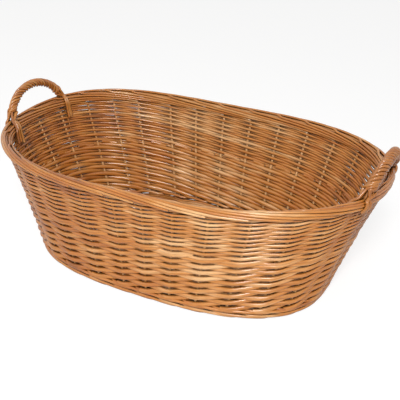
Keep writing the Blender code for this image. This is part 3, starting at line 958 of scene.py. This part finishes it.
def roping_rods(wall, sign):
    """Return the strands wound round the bow, and short ones that fill its feet."""
    h = settings("basket_handles")
    rope = Rope(wall, sign)
    size = h.right_size if sign > 0 else 1
    strand = h.strand * size
    lift = (h.bow * size + strand) / 2 - ROPE_BITE
    rods = []
    stations = np.linspace(h.clear, rope.run[-1] - h.clear, STRAND_POINTS)
    for number in range(h.strands):
        points, turn = rope.wind(stations, number / h.strands,
                                 lift + wobble(stations * 60, WAVER))
        knots = np.vstack((rope.tail(0, turn[0])[::-1], points, rope.tail(1, turn[-1])))
        rods.append(Rod(smooth(knots, SHORT_STEPS),
                        strand / 2 * random.uniform(*STRAND_SIZES)))
    for foot in (0, 1):
        stations = np.linspace(h.filler, h.clear + 0.001, FILLER_POINTS)
        high = lift + strand * np.linspace(*FILLER_CLIMB, FILLER_POINTS)
        if foot:
            stations = rope.run[-1] - stations
        for number in range(h.fillers):
            points, turn = rope.wind(stations, (number + 0.5) / h.fillers, high)
            knots = np.vstack((points, rope.tail(foot, turn[-1])))
            rods.append(Rod(smooth(knots, SHORT_STEPS),
                            strand / 2 * random.uniform(*FILLER_SIZES)))
    return rods


# Operators

class BASKET_OT_base(bpy.types.Operator):
    """Lay the base sticks and weave the base"""

    bl_idname = "basket.base"
    bl_label = "Base"

    def execute(self, context):
        wall = Wall()
        add_piece("base_sticks", stick_rods(wall), STICK_NODES)
        add_piece("base_weave", base_rods(wall), nodes_named("base_band"))
        return {"FINISHED"}


class BASKET_OT_stakes(bpy.types.Operator):
    """Set the stakes and lay their tops down into the border"""

    bl_idname = "basket.stakes"
    bl_label = "Stakes and border"

    def execute(self, context):
        wall = Wall()
        add_piece("stakes_and_border", stake_rods(wall), STICK_NODES)
        add_piece("border_core", core_rods(wall), STICK_NODES)
        return {"FINISHED"}


class BASKET_OT_wale(bpy.types.Operator):
    """Weave the foot wale that sets the stakes"""

    bl_idname = "basket.wale"
    bl_label = "Foot wale"

    def execute(self, context):
        add_piece("foot_wale", wale_rods(Wall()), nodes_named("foot_wale"))
        return {"FINISHED"}


class BASKET_OT_siding(bpy.types.Operator):
    """Weave the two blocks of siding"""

    bl_idname = "basket.siding"
    bl_label = "Siding"

    def execute(self, context):
        wall, s = Wall(), settings("basket_wall")
        top = wall.border_level - s.border_height / 2 + BORDER_REACH
        blocks = (("lower", s.wale_height - WALE_LAP, s.block_height, s.lower_rows,
                   s.lower_taper, *LOWER_ENDS, s.lower_fullness),
                  ("upper", s.block_height - BLOCK_LAP, top, s.upper_rows,
                   s.upper_taper, *UPPER_ENDS, s.upper_fullness))
        for block, *measures in blocks:
            add_piece(f"{block}_siding", siding_rods(wall, *measures),
                      nodes_named(f"{block}_siding"))
        return {"FINISHED"}


class BASKET_OT_handles(bpy.types.Operator):
    """Bend the two bows and rope them"""

    bl_idname = "basket.handles"
    bl_label = "Handles"

    def execute(self, context):
        wall = Wall()
        for side, sign in (("left", -1), ("right", 1)):
            add_piece(f"{side}_bow", bow_rods(wall, sign), [f"{side}_handle_bow"])
            add_piece(f"{side}_roping", roping_rods(wall, sign),
                      nodes_named(f"{side}_handle_strand", f"{side}_handle_wrap"))
        return {"FINISHED"}


class BASKET_OT_stage(bpy.types.Operator):
    """Set the floor, the lamps and the camera"""

    bl_idname = "basket.stage"
    bl_label = "Stage"

    def execute(self, context):
        scene, v = context.scene, settings("basket_stage")
        self.floor(scene, v)
        self.world(scene, v)
        for lamp in LAMPS:
            self.lamp(scene, *lamp)
        self.camera(scene, v)
        scene.view_settings.view_transform = "Standard"
        return {"FINISHED"}

    def floor(self, scene, v):
        """Lay the floor."""
        mesh = bpy.data.meshes.new("floor")
        bm = bmesh.new()
        bmesh.ops.create_grid(bm, x_segments=1, y_segments=1, size=12)
        bm.to_mesh(mesh)
        bm.free()
        floor = bpy.data.objects.new("floor", mesh)
        scene.collection.objects.link(floor)
        mesh.materials.append(self.floor_finish(v))

    def floor_finish(self, v):
        """Return the floor's matt finish, lighter where the camera sees it."""
        material = bpy.data.materials.new("floor_finish")
        nodes = Nodes(material)
        matt = nodes.fill(nodes.tree.nodes["Principled BSDF"],
                          {"Base Color": v.floor, "Roughness": 0.9})
        glow = nodes.fill(nodes.add("Emission"), {"Strength": 1.25})
        seen = nodes.add("LightPath").outputs["Is Camera Ray"]
        nodes.blend(nodes.math("MULTIPLY", seen, 0.6), matt, glow, "Material Output")
        return material

    def world(self, scene, v):
        """Light all round softly, and show white where the camera looks past the floor."""
        scene.world = bpy.data.worlds.new("studio")
        nodes = Nodes(scene.world)
        light = nodes.fill(nodes.tree.nodes["Background"],
                           {"Color": (1, 0.99, 0.97), "Strength": v.light})
        white = nodes.fill(nodes.add("Background"), {"Color": (1, 1, 1)})
        path = nodes.add("LightPath")
        seen = path.outputs["Is Camera Ray"]
        for label in ("Is Glossy Ray", "Is Transmission Ray"):
            seen = nodes.math("MAXIMUM", seen, path.outputs[label])
        nodes.blend(seen, light, white, "World Output")

    def lamp(self, scene, name, place, size, power):
        """Hang one square soft lamp that faces the basket."""
        data = bpy.data.lights.new(name, "AREA")
        data.size = size
        data.energy = power
        lamp = bpy.data.objects.new(name, data)
        lamp.location = place
        aim = Vector(LAMP_TARGET) - lamp.location
        lamp.rotation_euler = aim.to_track_quat("-Z", "Y").to_euler()
        scene.collection.objects.link(lamp)

    def camera(self, scene, v):
        """Stand the camera at the photograph's viewing angle."""
        a, e, r = v.azimuth, v.elevation, v.roll
        back = Vector((math.sin(a) * math.cos(e), -math.cos(a) * math.cos(e), math.sin(e)))
        right = Vector((math.cos(a), math.sin(a), 0))
        up = back.cross(right)
        x = right * math.cos(r) + up * math.sin(r)
        y = up * math.cos(r) - right * math.sin(r)
        data = bpy.data.cameras.new("camera")
        data.lens = v.lens
        data.sensor_width = 36
        camera = bpy.data.objects.new("camera", data)
        turn = Matrix((x, y, back)).transposed()
        place = Vector(v.target) + back * v.distance
        camera.matrix_world = Matrix.Translation(place) @ turn.to_4x4()
        scene.collection.objects.link(camera)
        scene.camera = camera


GROUPS = {"basket_wall": BasketWall, "basket_base": BasketBase,
          "basket_handles": BasketHandles, "willow_finish": WillowFinish,
          "basket_stage": BasketStage}
OPERATORS = (BASKET_OT_base, BASKET_OT_stakes, BASKET_OT_wale, BASKET_OT_siding,
             BASKET_OT_handles, BASKET_OT_stage)


class BASKET_PT_panel(bpy.types.Panel):
    """Steps and settings of the basket in the 3D view's sidebar."""

    bl_idname = "BASKET_PT_panel"
    bl_label = "Willow Basket"
    bl_space_type = "VIEW_3D"
    bl_region_type = "UI"
    bl_category = "Basket"

    def draw(self, context):
        for operator in OPERATORS:
            self.layout.operator(operator.bl_idname)
        for group in GROUPS:
            box = self.layout.box()
            for prop in settings(group).bl_rna.properties:
                if prop.identifier not in ("rna_type", "name"):
                    box.prop(settings(group), prop.identifier)


def register():
    """Register the settings, the operators and the panel."""
    for name, group in GROUPS.items():
        bpy.utils.register_class(group)
        setattr(bpy.types.Scene, name, bpy.props.PointerProperty(type=group))
    for operator in OPERATORS:
        bpy.utils.register_class(operator)
    bpy.utils.register_class(BASKET_PT_panel)


def unregister():
    """Take back what register added."""
    bpy.utils.unregister_class(BASKET_PT_panel)
    for operator in reversed(OPERATORS):
        bpy.utils.unregister_class(operator)
    for name, group in reversed(list(GROUPS.items())):
        delattr(bpy.types.Scene, name)
        bpy.utils.unregister_class(group)


def main():
    """Weave the basket and set the stage."""
    register()
    bpy.ops.basket.base()
    bpy.ops.basket.stakes()
    bpy.ops.basket.wale()
    bpy.ops.basket.siding()
    bpy.ops.basket.handles()
    bpy.ops.basket.stage()


if __name__ == "__main__":
    main()
